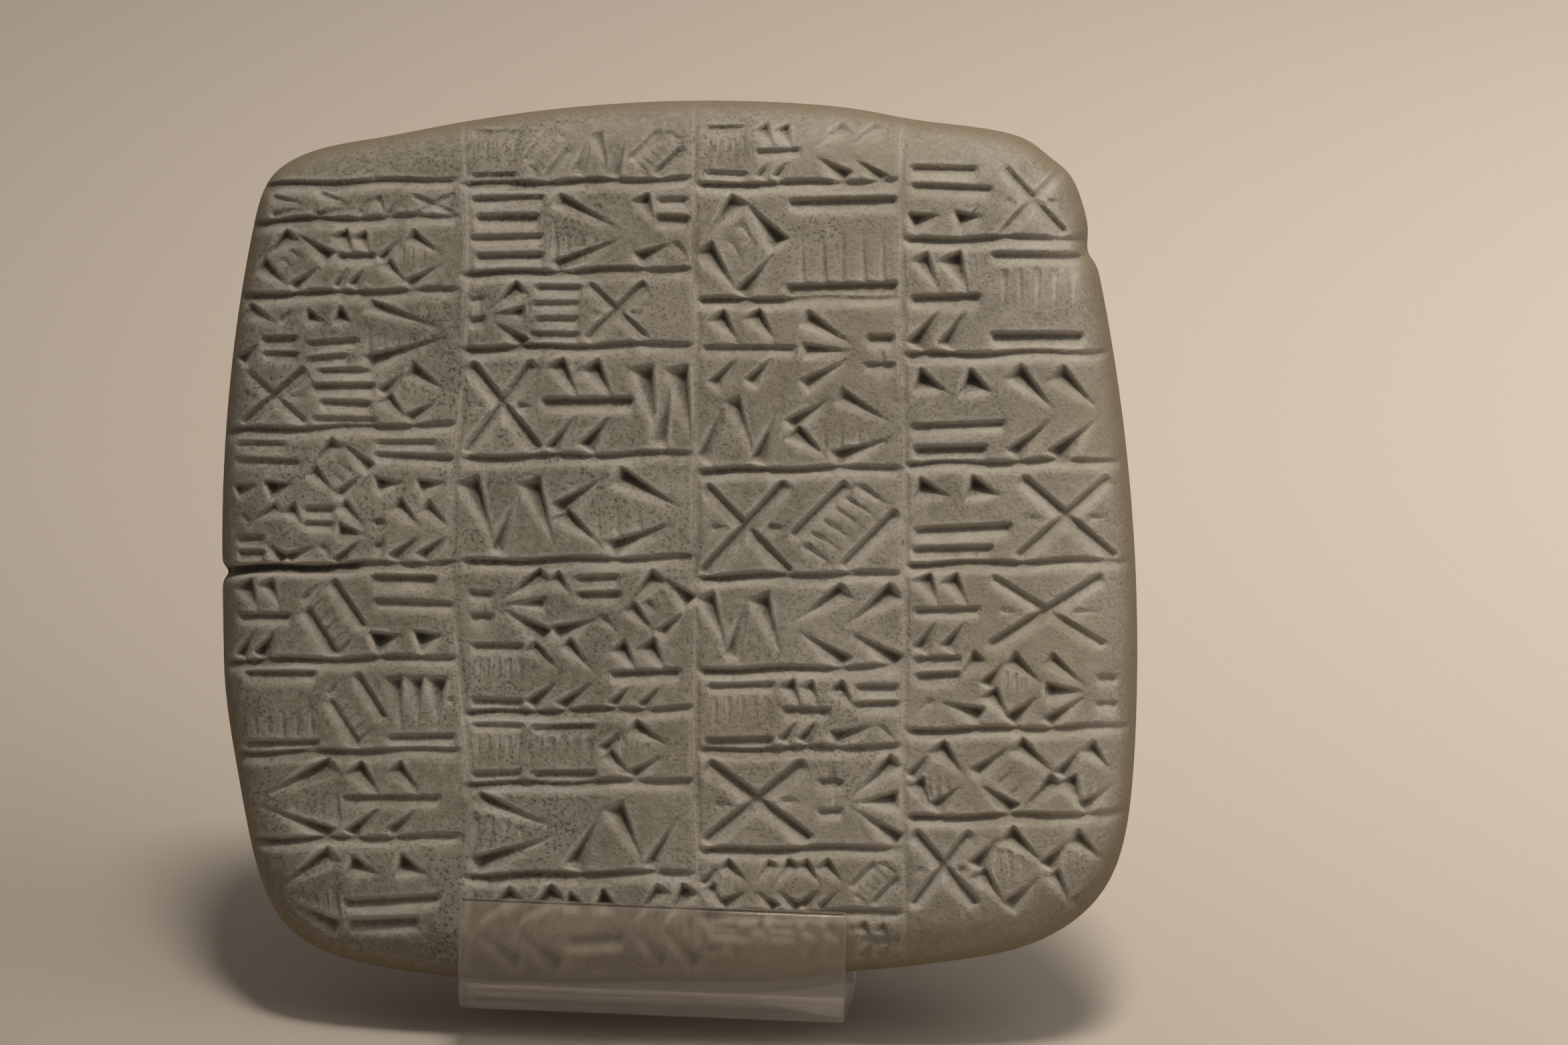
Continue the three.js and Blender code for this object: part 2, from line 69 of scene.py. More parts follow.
# Tablet outline and faces, as on the solids.
tablet = dict(
    width=80.0, height=77.5, frontRise=7.5, frontDome=1.5, backRise=7.5, backDome=3.5,
    frontPower=18, backPower=8,
    top=(6.4, 2.0), bottom=(5.5, -3.0), right=(4.6, -8.75), left=(5.4, -0.25),  # bow: sag and crown
    cornerPowers=(20, 28, 13, 10.5),
    # direction in degrees, height in mm (a chip is below 0) and spread in degrees
    lumps=((132, 0.5, 5), (60, -0.4, 6), (46, -0.5, 2.5), (35.4, -0.6, 1.6), (183.2, -0.5, 0.9),
           (198, 0.3, 8), (291, -0.3, 6), (310, 0.5, 7), (268, -0.6, 13)),
    wellOutside=160.0, halvings=40, nearlyFull=7,
    gridSide=561, rimStart=0.86, rimShare=0.9, triangles=188000,
    frontFade=0.006, backFade=0.1,  # the relief dies away over this share of the way in from the rim
)


def endReach(x, upper):
    # a parabola: half the height less sag * (distance from the crown / half the width)^2
    sag, crown = tablet["top"] if upper else tablet["bottom"]
    return tablet["height"] / 2 - sag * ((x - crown) / (tablet["width"] / 2)) ** 2


def sideReach(z, right):
    # the same for a side, with width and height exchanged
    sag, crown = tablet["right"] if right else tablet["left"]
    return tablet["width"] / 2 - sag * ((z - crown) / (tablet["height"] / 2)) ** 2


def outlineTable(count=4096):
    # squircle (x / side)^power + (z / end)^power = 1 between the bowed sides, found by halving, plus
    # bell-shaped lumps and chips: height * exp(-(degrees away / spread)^2)
    angle = np.linspace(-np.pi, np.pi, count + 1)
    turned = np.degrees(angle) % 360
    power = np.array(tablet["cornerPowers"])[(turned // 90).astype(int) % 4]
    inside, outside = np.zeros_like(angle), np.full_like(angle, tablet["wellOutside"])
    for _ in range(tablet["halvings"]):
        r = (inside + outside) / 2
        x, z = r * np.cos(angle), r * np.sin(angle)
        side = np.maximum(np.where(x > 0, sideReach(z, True), sideReach(z, False)), 1)
        end = np.maximum(np.where(z > 0, endReach(x, True), endReach(x, False)), 1)
        over = (np.abs(x) / side) ** power + (np.abs(z) / end) ** power > 1
        inside, outside = np.where(over, inside, r), np.where(over, r, outside)
    radius = inside
    for at, height, spread in tablet["lumps"]:
        away = (turned - at + 540) % 360 - 180
        radius = radius + height * np.exp(-(away / spread) ** 2)
    return angle, radius


outlineAngle, outlineRadii = outlineTable()


def radiusAt(angle):
    return np.interp(angle, outlineAngle, outlineRadii)


def edgeShare(x, z):
    # 0 at the middle, 1 on the outline
    return np.minimum(np.hypot(x, z) / radiusAt(np.arctan2(z, x)), 1)


def frontHeight(share):
    # a low dome plus a flat-topped curve that drops to the rim: rise * sqrt(1 - share^power)
    bulge = np.sqrt(1 - share ** tablet["frontPower"])
    return tablet["frontDome"] * (1 - share ** 2) + tablet["frontRise"] * bulge


def backHeight(share):
    # the same with a rounder shoulder
    bulge = np.sqrt(1 - share ** tablet["backPower"])
    return tablet["backDome"] * (1 - share ** 2) + tablet["backRise"] * bulge


# The written face as a square field of depths, one value each 0.1 mm.
field = dict(half=43.0, step=0.1)
ticks = np.arange(-field["half"], field["half"] + field["step"] / 2, field["step"])
fieldX, fieldZ = np.meshgrid(ticks, ticks, indexing="ij")
scatter = np.random.default_rng(11)


def blur(values, sigma):
    # a bell-shaped blur, done as a product of spectra
    fx = np.fft.fftfreq(values.shape[0], field["step"])[:, None]
    fz = np.fft.rfftfreq(values.shape[1], field["step"])[None, :]
    gain = np.exp(-2 * (np.pi * sigma) ** 2 * (fx ** 2 + fz ** 2))
    return np.fft.irfft2(np.fft.rfft2(values) * gain, s=values.shape)


def grain(fine, coarse):
    # noise whose lumps lie between two sizes, scaled to a spread of 1
    raw = scatter.standard_normal(fieldX.shape)
    band = blur(raw, fine) - blur(raw, coarse)
    return band / band.std()


def sampled(values, x, z):
    # bilinear reading of a field at any points
    gx = np.clip((x + field["half"]) / field["step"], 0, len(ticks) - 1.001)
    gz = np.clip((z + field["half"]) / field["step"], 0, len(ticks) - 1.001)
    i, j = gx.astype(int), gz.astype(int)
    a, b = gx - i, gz - j
    return ((values[i, j] * (1 - a) + values[i + 1, j] * a) * (1 - b)
            + (values[i, j + 1] * (1 - a) + values[i + 1, j + 1] * a) * b)


def window(xs, zs, margin=0.5):
    # index range of the field round some points
    spans = []
    for values in (xs, zs):
        low = int(np.clip((min(values) - margin + field["half"]) / field["step"], 0, len(ticks) - 2))
        high = int(np.clip((max(values) + margin + field["half"]) / field["step"], 1, len(ticks) - 1))
        spans.append(slice(low, high + 1))
    return tuple(spans)


def pit(depths, footprint, deepest, depth):
    # an upside-down pyramid: depth falls evenly from its deepest point to each side of its footprint
    px, pz = deepest
    part = window([p[0] for p in footprint], [p[1] for p in footprint])
    x, z = fieldX[part] - px, fieldZ[part] - pz
    reach = np.zeros_like(x)
    for (ax, az), (bx, bz) in zip(footprint, footprint[1:] + footprint[:1]):
        nx, nz = bz - az, ax - bx
        off = (ax - px) * nx + (az - pz) * nz
        if abs(off) > 1e-6:
            reach = np.maximum(reach, (x * nx + z * nz) / off)
    depths[part] = np.maximum(depths[part], depth * (1 - reach))


# Ruled columns and cases.
ruling = dict(
    columns=(-0.5, -0.2275, 0.027, 0.251, 0.5),
    lines=(
        (0.401, 0.36, 0.277, 0.126, -0.028, -0.133, -0.236, -0.333),
        (0.399, 0.299, 0.215, 0.093, -0.023, -0.191, -0.271, -0.374),
        (0.396, 0.267, 0.077, -0.041, -0.145, -0.234, -0.346, -0.417),
        (0.333, 0.205, 0.084, -0.028, -0.213, -0.31),
    ),
    margin=0.5, gap=0.25, slope=0.016, skew=0.27,
    lineWidth=1.3, lineDepth=0.75, lineWander=0.1, overStart=0.6, overStop=0.3,
    lineFall=(1.25, 0.4),  # share of the depth at the left end, and how much of it is lost to the right
    dividerWidth=0.8, dividerDepth=0.35, dividerWaver=0.8, otherWaver=0.15, dividerUneven=0.35,
    overEnds=1, crackColumn=0, crackLine=4, crackReach=0.62, crackWidth=1.1, crackDepth=1.7,
    crackFall=(1.2, 0.5), crackOver=3.5,
)


def furrow(depths, along, across, start, stop, middle, width, depth, fade=1.0):
    # a lopsided V, steep on its upper side and gentle below: depth * (1 - distance from its bottom / the
    # width of that wall), fading out evenly over a short way at both ends
    side = across - middle
    bottom = ruling["skew"] * width
    steep, gentle = (side - bottom) / (width / 2 - bottom), (bottom - side) / (width / 2 + bottom)
    wall = np.maximum(steep, gentle)
    ends = np.clip((along - start) / fade, 0, 1) * np.clip((stop - along) / fade, 0, 1)
    np.maximum(depths, depth * ends * np.clip(1 - wall, 0, 1), out=depths)


def ruledDepths():
    # dividers that waver by sines, then the crack and the case lines, which climb to the right as
    # z = share * height + slope * x + a small sine, and grow evenly shallower
    depths = np.zeros_like(fieldX)
    margin, gap = ruling["margin"], ruling["gap"]
    for column in range(1, 4):
        x = ruling["columns"][column] * tablet["width"]
        top, bottom = endReach(x, True) - margin, margin - endReach(x, False)
        run = (fieldZ - bottom) / (top - bottom)
        waver = ruling["otherWaver"] * np.sin(9 * run + column)
        if column == 1:
            waver = ruling["dividerWaver"] * np.sin(3 * np.pi * run)
        depth = ruling["dividerDepth"] * (1 + ruling["dividerUneven"] * np.sin(23 * run + column))
        start, stop = bottom - ruling["overEnds"], top + ruling["overEnds"]
        furrow(depths, fieldZ, -fieldX, start, stop, -(x + waver), ruling["dividerWidth"], depth)
    for column, shares in enumerate(ruling["lines"]):
        leftEdge, rightEdge = (ruling["columns"][column + k] * tablet["width"] for k in (0, 1))
        for line, share in enumerate(shares):
            z = share * tablet["height"]
            first = margin - sideReach(z, False) if column == 0 else leftEdge + gap
            last = sideReach(z, True) - margin if column == 3 else rightEdge - gap
            wander = ruling["lineWander"] * np.sin(0.7 * fieldX + 5 * line)
            middle = z + ruling["slope"] * (fieldX - first) + wander
            deep, fall = ruling["lineFall"]
            depth = ruling["lineDepth"] * (deep - fall * (fieldX - first) / (last - first))
            start, stop = first - ruling["overStart"], last + ruling["overStop"]
            furrow(depths, fieldX, fieldZ, start, stop, middle, ruling["lineWidth"], depth)
            if (column, line) == (ruling["crackColumn"], ruling["crackLine"]):
                stop = first + (last - first) * ruling["crackReach"]
                deep, fall = ruling["crackFall"]
                depth = ruling["crackDepth"] * (deep - fall * (fieldX - first) / (stop - first))
                start = first - ruling["crackOver"]
                furrow(depths, fieldX, fieldZ, start, stop, middle, ruling["crackWidth"], depth)
    return depths


# Pressed strokes: width and depth of each kind, then motifs that spell nothing.
strokeSizes = dict(wedge=(2, 1.15), bar=(1.4, 0.75), scratch=(1.1, 0.5), dent=(2.4, 1.4), tick=(0.75, 0.4))
layout = dict(
    rimMargin=1.1, caseMargin=0.5, leastMotif=3.8, mostMotif=9.5, usualMotif=6, tallestRow=10.5,
    lowestRow=2, rowGap=0.2, endInset=4, motifGap=(0.2, 0.6), fullness=(0.92, 1), shape=(0.75, 1.3),
    stretch=1.3, turnAcross=0.75, turnOver=0.5, evenness=(0.85, 1.15), unevenness=0.15,
    steepShare=0.6, barFade=0.5, barMargin=1.5, pitPlace=0.15, pitSide=0.85,
    scratchPlace=0.25, scratchWaist=0.2,
)
motifs = [  # each stroke by its kind and both ends, as shares of the motif's own box
    [  # three wedges that run together, then bars
        ("wedge", 0, 1, 0.62, 0.53), ("wedge", 0, 0.5, 0.6, 0.5), ("wedge", 0, 0, 0.62, 0.47),
        ("bar", 0.66, 0.72, 1, 0.72), ("bar", 0.66, 0.36, 1, 0.36), ("scratch", 0.82, 1, 0.82, 0.05),
    ],
    [  # a doubled V on its side
        ("wedge", 0, 1, 0.5, 0.5), ("wedge", 0, 0, 0.5, 0.5), ("wedge", 0.46, 1, 0.98, 0.5),
        ("wedge", 0.46, 0, 0.98, 0.5),
    ],
    [  # a slanted patch filled with ticks
        ("bar", 0, 0.35, 0.55, 1), ("bar", 0.45, 0, 1, 0.65), ("scratch", 0, 0.35, 0.45, 0),
        ("scratch", 0.55, 1, 1, 0.65), ("tick", 0.11, 0.48, 0.56, 0.13), ("tick", 0.22, 0.61, 0.67, 0.26),
        ("tick", 0.33, 0.74, 0.78, 0.39), ("tick", 0.44, 0.87, 0.89, 0.52),
    ],
    [  # four wedges round two ticks
        ("wedge", 0, 0.5, 0.5, 1), ("wedge", 0.5, 1, 1, 0.5), ("wedge", 1, 0.5, 0.5, 0),
        ("wedge", 0.5, 0, 0, 0.5), ("tick", 0.3, 0.42, 0.58, 0.72), ("tick", 0.45, 0.27, 0.72, 0.55),
    ],
    [  # wedges standing on a bar
        ("bar", 0, 0.1, 1, 0.14), ("wedge", 0.12, 1, 0.2, 0.2), ("wedge", 0.4, 1, 0.44, 0.2),
        ("wedge", 0.68, 1, 0.68, 0.2), ("scratch", 0.84, 0.62, 1, 0.62),
    ],
    [  # long bars one above the other
        ("bar", 0.06, 0.92, 1, 0.92), ("bar", 0, 0.64, 1, 0.64), ("bar", 0.1, 0.36, 0.94, 0.36),
        ("bar", 0, 0.08, 1, 0.08),
    ],
    [  # two wedges with bars after them
        ("wedge", 0, 0.98, 0.34, 0.6), ("bar", 0.3, 0.88, 1, 0.88), ("bar", 0.3, 0.62, 1, 0.62),
        ("wedge", 0, 0.05, 0.7, 0.34), ("scratch", 0.62, 0.36, 1, 0.04),
    ],
    [  # two long bars that cross
        ("bar", 0, 1, 1, 0), ("bar", 0, 0, 1, 1), ("tick", 0.1, 0.5, 0.36, 0.5),
        ("scratch", 0.68, 0.5, 1, 0.5),
    ],
    [  # a three-sided outline with ticks
        ("wedge", 0, 1, 1, 0.5), ("wedge", 0, 0, 1, 0.5), ("scratch", 0.04, 0.95, 0.04, 0.05),
        ("tick", 0.2, 0.78, 0.2, 0.24), ("tick", 0.36, 0.7, 0.36, 0.32), ("tick", 0.52, 0.62, 0.52, 0.4),
    ],
    [  # deep dents over bars
        ("dent", 0.04, 0.84, 0.4, 0.72), ("dent", 0.54, 0.84, 0.9, 0.72), ("bar", 0, 0.3, 1, 0.36),
        ("bar", 0, 0.04, 0.8, 0.08),
    ],
    [  # a pointed oval with ticks
        ("wedge", 0, 0.5, 0.38, 0.96), ("wedge", 0.38, 0.96, 1, 0.56), ("wedge", 0, 0.5, 0.42, 0.04),
        ("wedge", 0.42, 0.04, 1, 0.48), ("tick", 0.3, 0.8, 0.3, 0.24), ("tick", 0.46, 0.8, 0.46, 0.22),
        ("tick", 0.62, 0.7, 0.62, 0.32),
    ],
    [  # wedges up and down in turn
        ("wedge", 0, 0.96, 0.32, 0.04), ("wedge", 0.34, 0.04, 0.64, 0.96), ("wedge", 0.68, 0.96, 1, 0.04),
    ],
    [  # wedges on both sides of a bar
        ("bar", 0, 0.5, 1, 0.5), ("wedge", 0.12, 1, 0.42, 0.54), ("wedge", 0.5, 1, 0.8, 0.54),
        ("wedge", 0.12, 0, 0.42, 0.46), ("wedge", 0.5, 0, 0.8, 0.46),
    ],
    [  # two bars with rungs
        ("bar", 0, 0.94, 1, 0.94), ("bar", 0, 0.06, 1, 0.06), ("tick", 0.14, 0.86, 0.14, 0.14),
        ("tick", 0.32, 0.86, 0.32, 0.14), ("tick", 0.5, 0.86, 0.5, 0.14), ("tick", 0.68, 0.86, 0.68, 0.14),
        ("tick", 0.86, 0.86, 0.86, 0.14),
    ],
]
strokes = []


def press(box, kind, u0, v0, u1, v1):
    # one stroke of a motif in its box, its ends and its size a little uneven
    stray, ends = layout["unevenness"], []
    for u, v in ((u0, v0), (u1, v1)):
        across = 1 - u if box["flipU"] else u
        up = 1 - v if box["flipV"] else v
        x = box["x"] + box["w"] * across + between(-stray, stray)
        z = box["z"] + box["h"] * up + between(-stray, stray)
        ends.append((x, z))
    scale = between(*layout["evenness"]) * math.sqrt(box["h"] / layout["usualMotif"])
    width, depth = strokeSizes[kind]
    strokes.append((kind, ends[0], ends[1], width * scale, depth * scale))


def fillRow(left, right, low, high):
    # motifs from left to right until the case is full
    x = left
    while right - x > layout["leastMotif"]:
        h = (high - low) * between(*layout["fullness"])
        wish = max(h * between(*layout["shape"]), layout["leastMotif"])
        w = min(wish, layout["mostMotif"], right - x)
        if right - x - w < layout["leastMotif"]:
            w = min(right - x, layout["stretch"] * w)
        z = between(low, high - h)
        flipU, flipV = draw() > layout["turnAcross"], draw() > layout["turnOver"]
        box = dict(x=x, z=z, w=w, h=h, flipU=flipU, flipV=flipV)
        for stroke in motifs[int(draw() * len(motifs))]:
            press(box, *stroke)
        x += w + between(*layout["motifGap"])


def layStrokes():
    # every case of every column, from the top down
    columns, margin = ruling["columns"], layout["caseMargin"]
    for column, shares in enumerate(ruling["lines"]):
        leftEdge, rightEdge = (columns[column + k] * tablet["width"] for k in (0, 1))
        mostOut = max(abs(leftEdge + layout["endInset"]), abs(rightEdge - layout["endInset"]))
        outward = -mostOut if column < 2 else mostOut
        rim = layout["rimMargin"]
        for k in range(len(shares) + 1):
            top = endReach(outward, True) - rim if k == 0 else shares[k - 1] * tablet["height"]
            bottom = rim - endReach(outward, False) if k == len(shares) else shares[k] * tablet["height"]
            middle = (top + bottom) / 2
            left = rim - sideReach(middle, False) if column == 0 else leftEdge
            right = sideReach(middle, True) - rim if column == 3 else rightEdge
            low, high = bottom + margin, top - margin
            if high - low < layout["lowestRow"]:
                continue
            rows = 2 if high - low > layout["tallestRow"] else 1
            step = (high - low) / rows
            for row in range(rows):
                rowTop = low + (row + 1) * step - layout["rowGap"]
                fillRow(left + margin, right - margin, low + row * step, rowTop)


def strokeDepths(depths):
    # bars are short furrows; scratches, wedges, dents and ticks are pits with their steep side above
    steep = layout["steepShare"]
    for kind, (x0, z0), (x1, z1), width, depth in strokes:
        dx, dz = x1 - x0, z1 - z0
        long = math.hypot(dx, dz)
        turn = 1 if dx - 0.3 * dz > 0 else -1
        sx, sz, half = -dz / long * turn, dx / long * turn, width / 2

        def at(t, side):
            return (x0 + dx * t + sx * side, z0 + dz * t + sz * side)

        if kind == "bar":
            part = window((x0, x1), (z0, z1), layout["barMargin"])
            x, z = fieldX[part] - x0, fieldZ[part] - z0
            along, across = (x * dx + z * dz) / long, x * sx + z * sz
            furrow(depths[part], along, across, 0, long, 0, width, depth, layout["barFade"])
        elif kind == "scratch":
            waist, deepest = layout["scratchWaist"], at(layout["scratchPlace"], half * steep)
            pit(depths, [at(0, 0), at(waist, -half), at(1, 0), at(waist, half)], deepest, depth)
        else:
            deepest = at(layout["pitPlace"], half * layout["pitSide"] * steep)
            pit(depths, [at(0, half), at(0, -half), at(1, 0)], deepest, depth)
    return depths


layStrokes()
cut = strokeDepths(ruledDepths())
print("strokes laid:", len(strokes))

# The clay closes softly round each stroke and swells beside it; the face is uneven, worn and pitted.
wear = dict(
    soften=0.08, swell=0.3, swellReach=0.8, crestReach=0.35,
    # layers of roughness, each by its height and its finest and coarsest lumps
    front=((0.10, 3.0, 9.0), (0.03, 0.7, 2.2), (0.014, 0.12, 0.4)),
    back=((0.35, 5.0, 14.0), (0.05, 0.8, 2.5), (0.014, 0.12, 0.5)),
)


def roughness(layers):
    return sum(height * grain(fine, coarse) for height, fine, coarse in layers)


softCut = blur(cut, wear["soften"])
swollen = wear["swell"] * blur(cut, wear["swellReach"])
relief = softCut - swollen + roughness(wear["front"])
backRelief = roughness(wear["back"])
print("relief worked out")


def clayGrid(front):
    # a square grid wrapped into the outline; towards the rim the rows close up and go round it evenly
    t = np.linspace(-1, 1, tablet["gridSide"])
    u, v = np.meshgrid(t, t, indexing="ij")
    m = np.maximum(np.abs(u), np.abs(v))
    rim = np.clip((m - tablet["rimStart"]) / (1 - tablet["rimStart"]), 0, 1)
    inner = m * tablet["rimShare"] / tablet["rimStart"]
    share = np.where(m < tablet["rimStart"], inner, 1 - (1 - tablet["rimShare"]) * (1 - rim) ** 2)
    angle = np.arctan2(v * tablet["height"], u * tablet["width"])
    r = share * radiusAt(angle)
    x, z = r * np.cos(angle), r * np.sin(angle)
    if front:
        fade = np.clip((1 - share) / tablet["frontFade"], 0, 1)
        y = -frontHeight(share) + sampled(relief, x, z) * fade
    else:
        fade = np.clip((1 - share) / tablet["backFade"], 0, 1)
        y = backHeight(share) - sampled(backRelief, x, z) * fade
    return np.stack([x, y, z], axis=-1)


def gridFaces(reverse, numbers):
    # quads of a square grid, by way of a table of vertex numbers
    a, b, c, d = numbers[:-1, :-1], numbers[1:, :-1], numbers[1:, 1:], numbers[:-1, 1:]
    order = [a, d, c, b] if reverse else [a, b, c, d]
    return np.stack(order, axis=-1).reshape(-1, 4)


def meshFrom(name, points, faces):
    mesh = bpy.data.meshes.new(name)
    sides = faces.shape[1]
    mesh.vertices.add(len(points))
    mesh.vertices.foreach_set("co", np.asarray(points, np.float32).ravel())
    mesh.loops.add(faces.size)
    mesh.loops.foreach_set("vertex_index", np.asarray(faces, np.int32).ravel())
    mesh.polygons.add(len(faces))
    mesh.polygons.foreach_set("loop_start", np.arange(0, faces.size, sides, dtype=np.int32))
    mesh.polygons.foreach_set("use_smooth", np.ones(len(faces), bool))
    mesh.update(calc_edges=True)
    mesh.validate()
    piece = bpy.data.objects.new(name, mesh)
    bpy.context.scene.collection.objects.link(piece)
    return piece


def standUp(points):
    # rolls the tablet in its own plane, then leans it back
    lean, roll = math.radians(-view["lean"]), math.radians(-view["roll"])
    turn = np.array(Matrix.Rotation(lean, 3, "X") @ Matrix.Rotation(roll, 3, "Y"))
    return points @ turn.T


def buildTablet():
    side = tablet["gridSide"]
    front, back = clayGrid(True), clayGrid(False)
    numbers = np.arange(side * side).reshape(side, side)
    onRim = np.zeros((side, side), bool)
    onRim[[0, -1], :] = onRim[:, [0, -1]] = True
    backNumbers = np.where(onRim, numbers, numbers + side * side)
    faces = np.concatenate([gridFaces(False, numbers), gridFaces(True, backNumbers)])
    points = np.concatenate([front.reshape(-1, 3), back.reshape(-1, 3)])
    used, compact = np.unique(faces, return_inverse=True)
    faces = compact.reshape(-1, 4)
    local = points[used]
    world = standUp(local)
    low, high = (np.array(corner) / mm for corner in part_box("tablet"))
    middle = (low + high) / 2 - (world.max(0) + world.min(0)) / 2
    piece = meshFrom("clay_tablet", (world + middle) * mm, faces)
    thin = piece.modifiers.new("thin", "DECIMATE")
    thin.ratio = tablet["triangles"] / (2 * len(faces))
    shape = bpy.data.meshes.new_from_object(piece.evaluated_get(bpy.context.evaluated_depsgraph_get()))
    piece.modifiers.clear()
    piece.data = shape
    shape.name = "clay_tablet"
    return piece, middle


def paintTablet(piece, middle):
    # per-point values for the clay's colour: how deep, how raised, how near the rim, how far forward
    turn = standUp(np.eye(3)).T
    co = np.empty(len(piece.data.vertices) * 3)
    piece.data.vertices.foreach_get("co", co)
    local = (co.reshape(-1, 3) / mm - middle) @ turn
    x, y, z = local.T
    facing = y < 0
    values = dict(
        dent=np.where(facing, sampled(softCut, x, z), 0),
        crest=np.where(facing, sampled(blur(softCut, wear["crestReach"]) - softCut, x, z), 0),
        rim=edgeShare(x, z),
        ahead=np.clip(-y / tablet["nearlyFull"], -1, 1),
    )
    for name, value in values.items():
        layer = piece.data.attributes.new(name, "FLOAT", "POINT")
        layer.data.foreach_set("value", value.astype(np.float32))


# Material helpers.
def newMaterial(name):
    material = bpy.data.materials.new(name)
    material.use_nodes = True
    return material, material.node_tree, material.node_tree.nodes["Principled BSDF"]


def addNode(tree, kind, settings=None, **inputs):
    node = tree.nodes.new(kind)
    for key, value in (settings or {}).items():
        setattr(node, key, value)
    for key, value in inputs.items():
        socket = node.inputs[int(key[1:])] if key[1:].isdigit() else node.inputs[key.replace("_", " ")]
        if isinstance(value, bpy.types.NodeSocket):
            tree.links.new(value, socket)
        else:
            socket.default_value = value
    return node


def noise(tree, place, scale, detail, rough=0.55):
    node = addNode(tree, "ShaderNodeTexNoise", Vector=place, Scale=scale, Detail=detail, Roughness=rough)
    return node.outputs[0]


def ramp(tree, value, low, high, to=(0.0, 1.0)):
    # a smooth step from low to high, which may also run downwards
    settings = dict(interpolation_type="SMOOTHSTEP")
    node = addNode(tree, "ShaderNodeMapRange", settings, Value=value)
    for key, number in (("From Min", low), ("From Max", high), ("To Min", to[0]), ("To Max", to[1])):
        node.inputs[key].default_value = number
    return node.outputs[0]


def times(tree, a, b):
    return addNode(tree, "ShaderNodeMath", dict(operation="MULTIPLY"), _0=a, _1=b).outputs[0]


def blend(tree, share, a, b, mode="MIX"):
    node = addNode(tree, "ShaderNodeMix", dict(data_type="RGBA", blend_type=mode))
    for index, value in ((0, share), (6, a), (7, b)):
        if isinstance(value, bpy.types.NodeSocket):
            tree.links.new(value, node.inputs[index])
        else:
            node.inputs[index].default_value = value
    return node.outputs[2]


def attribute(tree, name):
    return addNode(tree, "ShaderNodeAttribute", dict(attribute_name=name)).outputs["Fac"]


# Clay colours, then each noise by its scale per metre, detail and roughness.
clayLook = dict(
    # the pale dust colour is real dust and wear, and it also paints light onto the right side of the clay
    dark=(0.176, 0.158, 0.122, 1), pale=(0.238, 0.216, 0.172, 1), dust_and_painted_light=(0.43, 0.40, 0.345, 1),
    # the near-black colour is painted shade for the deepest strokes
    rim=(0.20, 0.158, 0.098, 1), olive=(0.205, 0.176, 0.114, 1), groove_shade=(0.045, 0.038, 0.028, 1),
    back=(0.20, 0.170, 0.118, 1), speck=(0.075, 0.064, 0.044, 1), specular=0.25,
)
clayGrain = dict(
    broad=(70, 3), mottle=(1300, 5, 0.7), specks=(3100, 3, 0.6), crowd=(130, 4, 0.6),
    stains=(55, 5, 0.6), patches=(160, 4, 0.6), polish=(600, 3), grit=(2200, 4, 0.65),
)


